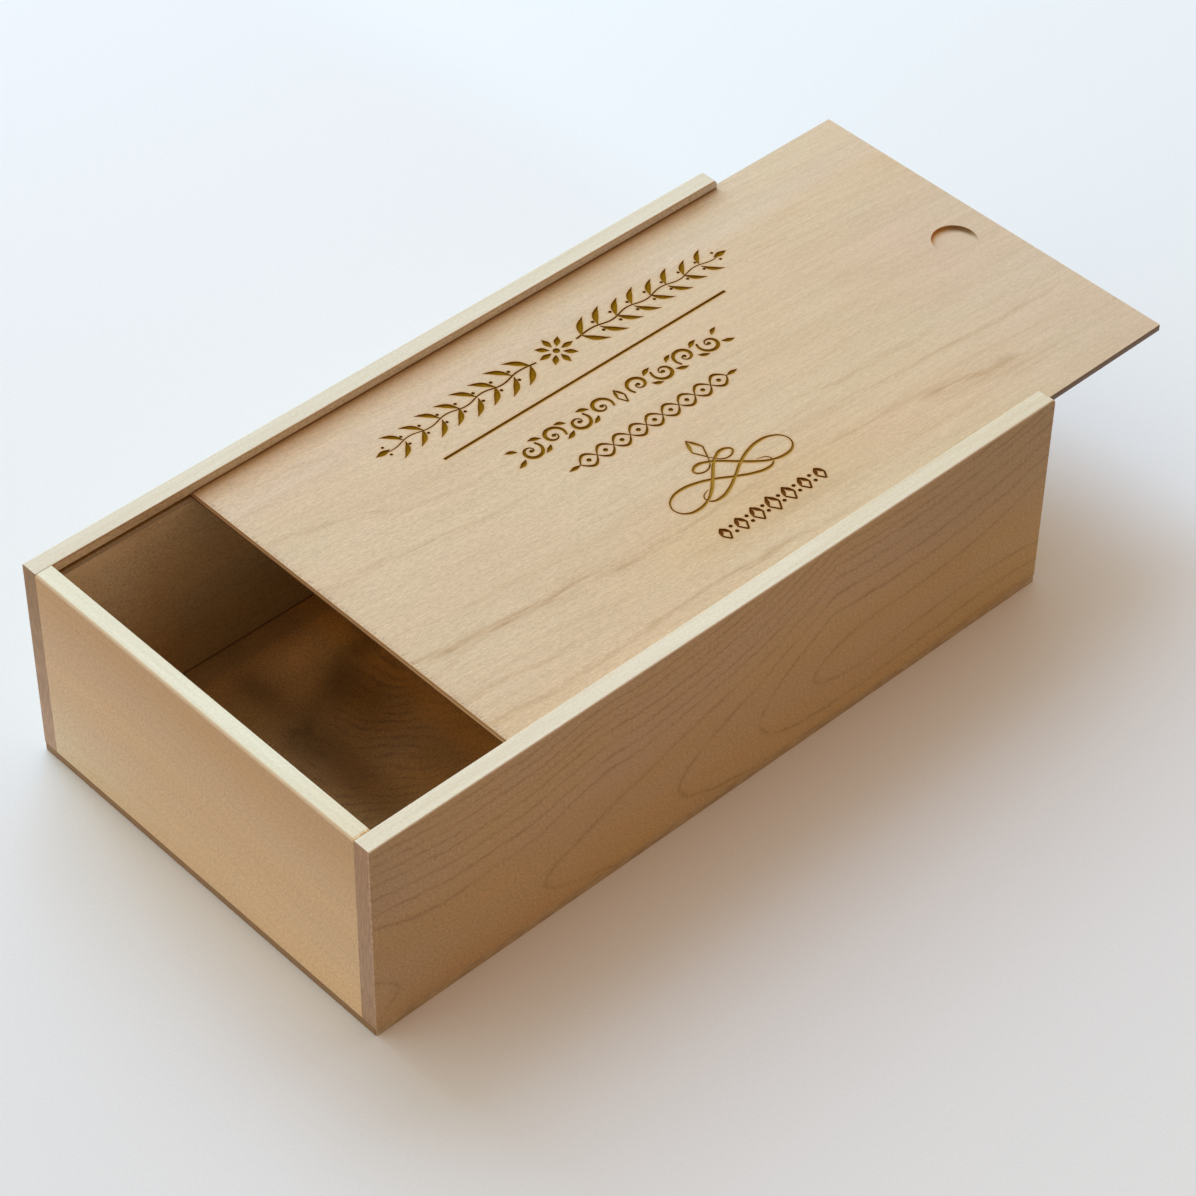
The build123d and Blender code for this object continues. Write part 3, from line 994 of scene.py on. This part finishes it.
def cutter(strokes, dots, surface):
    """The strokes and dots as one flat-bottomed cutter that reaches a little above the surface."""
    tool = square_tool()
    data = bpy.data.curves.new("strokes", "CURVE")
    data.dimensions = "3D"
    data.twist_mode = "Z_UP"
    data.bevel_mode = "OBJECT"
    data.bevel_object = tool
    data.use_fill_caps = True
    for stroke in strokes:
        spline = data.splines.new("BEZIER")
        spline.bezier_points.add(len(stroke) - 1)
        spline.resolution_u = 8
        spline.radius_interpolation = "CARDINAL"
        for point, (x, y, width) in zip(spline.bezier_points, stroke):
            point.co = ((ENGRAVING_CENTRE + x) * MM, y * MM, surface)
            point.handle_left_type = point.handle_right_type = "AUTO"
            point.radius = width
    path = placed("strokes", data)
    bpy.context.view_layer.update()
    mesh = bpy.data.meshes.new_from_object(path.evaluated_get(bpy.context.evaluated_depsgraph_get()))
    solid = bmesh.new()
    solid.from_mesh(mesh)
    for x, y, radius in dots:
        made = bmesh.ops.create_cone(solid, cap_ends=True, segments=20, radius1=radius * MM,
                                     radius2=radius * MM, depth=MM)
        bmesh.ops.translate(solid, verts=made["verts"], vec=((ENGRAVING_CENTRE + x) * MM, y * MM, surface))
    bmesh.ops.remove_doubles(solid, verts=solid.verts, dist=0.001 * MM)
    for corner in solid.verts:
        corner.co.z = surface + (CUTTER_RISE if corner.co.z > surface else -ENGRAVED_DEPTH) * MM
    bmesh.ops.recalc_face_normals(solid, faces=solid.faces)
    for face in solid.faces:
        face.material_index = 1
    solid.to_mesh(mesh)
    solid.free()
    for helper in (path, tool):
        bpy.data.objects.remove(helper)
    return placed("cutter", mesh)


def burnt_wood():
    """The scorched floor and walls of the engraving, with painted shade where they meet."""
    finish = Finish("burnt_wood")
    patch = finish.noise(finish.scaled(finish.place, (0.5, 0.9, 0.9)), detail=3.0)
    colour = finish.mixed(finish.span(patch, 0.3, 0.7), (0.23, 0.112, 0.0), (0.315, 0.162, 0.001))
    small_line = finish.span(finish.y, -52.0, -55.0)
    colour = finish.mixed(small_line, colour, (0.18, 0.06, 0.006))
    pen_work = finish.times(finish.span(finish.y, -12.0, -14.0), finish.minus(1.0, small_line))
    colour = finish.mixed(pen_work, colour, (0.44, 0.26, 0.03))
    # Painted shade: darker where the floor of each cut meets its walls
    reach = {"Distance": 0.7 * MM, "Color": (1.0, 1.0, 1.0, 1.0)}
    open_air = finish.node("ShaderNodeAmbientOcclusion", reach, samples=6, only_local=True).outputs["AO"]
    colour = finish.mixed(finish.span(open_air, 0.92, 0.6, 0.0, 0.95), colour, (0.10, 0.034, 0.001))
    pass_line = finish.maths("SINE", finish.times(finish.y, math.tau / PASS_PITCH))
    colour = finish.toned(colour, finish.span(pass_line, -1.0, 1.0, 0.9, 1.06))
    roughness = finish.span(patch, 0.2, 0.8, 0.75, 0.9)
    finish.shader.inputs["Specular IOR Level"].default_value = 0.05
    return finish.finished(colour, roughness, finish.plus(patch, pass_line), 0.04)


def engraved_lid():
    """The lid with the ornament cut into its top, on the body that slides."""
    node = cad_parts["lid"]
    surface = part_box("lid")[1].z
    solid = bmesh.new()
    solid.from_mesh(node.data)
    bmesh.ops.remove_doubles(solid, verts=solid.verts, dist=0.001 * MM)
    bmesh.ops.dissolve_limit(solid, angle_limit=math.radians(0.5), verts=solid.verts, edges=solid.edges)
    mesh = bpy.data.meshes.new("engraved_lid")
    solid.to_mesh(mesh)
    solid.free()
    lid = placed("engraved_lid", mesh)
    mesh.materials.append(lid_veneer())
    mesh.materials.append(burnt_wood())
    tool = cutter(*ornament(), surface)
    cut = lid.modifiers.new("engraving", "BOOLEAN")
    cut.operation = "DIFFERENCE"
    cut.solver = "EXACT"
    cut.use_self = True
    cut.object = tool
    bpy.context.view_layer.update()
    lid.data = bpy.data.meshes.new_from_object(lid.evaluated_get(bpy.context.evaluated_depsgraph_get()))
    lid.modifiers.clear()
    bpy.data.objects.remove(tool)
    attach(lid, "lid")
    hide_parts("lid")


# Studio


def paper_floor():
    """A wide sheet of pale paper under the box, painted bluer past the lid's end for the cool light there."""
    mesh = bpy.data.meshes.new("floor")
    sheet = bmesh.new()
    bmesh.ops.create_grid(sheet, x_segments=1, y_segments=1, size=PAPER_REACH)
    bmesh.ops.translate(sheet, verts=sheet.verts, vec=(0, 0, -PAPER_DROP))
    sheet.to_mesh(mesh)
    sheet.free()
    floor = placed("floor", mesh)
    finish = Finish("pale_paper")
    # Painted light: the paper is bluer past the lid's end, towards the window
    past_the_lid = finish.span(finish.x, HALF_LENGTH + 10.0, LID_HIGH.x + 24.5, smooth=True)
    to_the_window = finish.span(finish.plus(finish.x, finish.y), 50.0, 165.0, smooth=True)
    colour = finish.mixed(finish.times(past_the_lid, to_the_window), PAPER, PAPER_IN_PAINTED_LIGHT)
    tooth = finish.noise(finish.scaled(finish.place, (0.9, 0.9, 0.0)), detail=2.0)
    colour = finish.toned(colour, finish.span(tooth, 0.3, 0.7, 0.982, 1.018))
    finish.tree.links.new(colour, finish.shader.inputs["Base Color"])
    finish.shader.inputs["Roughness"].default_value = 0.9
    finish.shader.inputs["Specular IOR Level"].default_value = 0.1
    mesh.materials.append(finish.material)


def soft_box(name, window):
    """A square soft box that faces the box."""
    lamp = bpy.data.lights.new(name, "AREA")
    lamp.shape = "SQUARE"
    lamp.size = window["size"]
    lamp.energy = window["power"]
    lamp.color = window["colour"]
    lamp_object = placed(name, lamp)
    lamp_object.location = window["place"]
    lamp_object.rotation_mode = "QUATERNION"
    aim = Vector((0, 0, AIM_HEIGHT)) - Vector(window["place"])
    lamp_object.rotation_quaternion = aim.to_track_quat("-Z", "Y")


def studio_light():
    """Two cool windows to the left of the box, a bright wall behind them and a dim warm room opposite."""
    soft_box("high_window", HIGH_WINDOW)
    soft_box("low_window", LOW_WINDOW)
    world = bpy.data.worlds.new("room")
    world.use_nodes = True
    bpy.context.scene.world = world
    nodes, links = world.node_tree.nodes, world.node_tree.links
    direction = nodes.new("ShaderNodeSeparateXYZ")
    links.new(nodes.new("ShaderNodeTexCoord").outputs["Generated"], direction.inputs[0])
    side = nodes.new("ShaderNodeMapRange")
    for name, value in zip(("From Min", "From Max"), ROOM_TURN):
        side.inputs[name].default_value = value
    links.new(direction.outputs["Y"], side.inputs["Value"])
    tint = nodes.new("ShaderNodeMix")
    tint.data_type = "RGBA"
    tint.inputs[6].default_value = (*ROOM_SIDE, 1)
    tint.inputs[7].default_value = (*WINDOW_SIDE, 1)
    links.new(side.outputs[0], tint.inputs[0])
    room = nodes["Background"]
    room.inputs["Strength"].default_value = 1.0
    links.new(tint.outputs[2], room.inputs["Color"])
    seen = nodes.new("ShaderNodeBackground")
    seen.inputs["Color"].default_value = (*BACKDROP, 1)
    seen.inputs["Strength"].default_value = 1.0
    ray = nodes.new("ShaderNodeLightPath")
    mix = nodes.new("ShaderNodeMixShader")
    links.new(ray.outputs["Is Camera Ray"], mix.inputs[0])
    links.new(room.outputs[0], mix.inputs[1])
    links.new(seen.outputs[0], mix.inputs[2])
    links.new(mix.outputs[0], nodes["World Output"].inputs[0])


def camera():
    """Looks down past the closed end and the right side, with the lid drawn away from it."""
    data = bpy.data.cameras.new("camera")
    data.sensor_width = CAMERA_SENSOR
    data.lens = CAMERA_LENS
    data.clip_start = 0.05
    data.clip_end = 30.0
    seen_from = placed("camera", data)
    seen_from.location = CAMERA_PLACE
    seen_from.rotation_mode = "QUATERNION"
    level = CAMERA_AIM.to_track_quat("-Z", "Y")
    seen_from.rotation_quaternion = level @ Quaternion((0, 0, 1), CAMERA_ROLL)
    bpy.context.scene.camera = seen_from


bpy.context.scene.view_settings.view_transform = "Standard"
dress_walls()
ease_edges()
engraved_lid()
paper_floor()
studio_light()
camera()
bpy.context.view_layer.update()
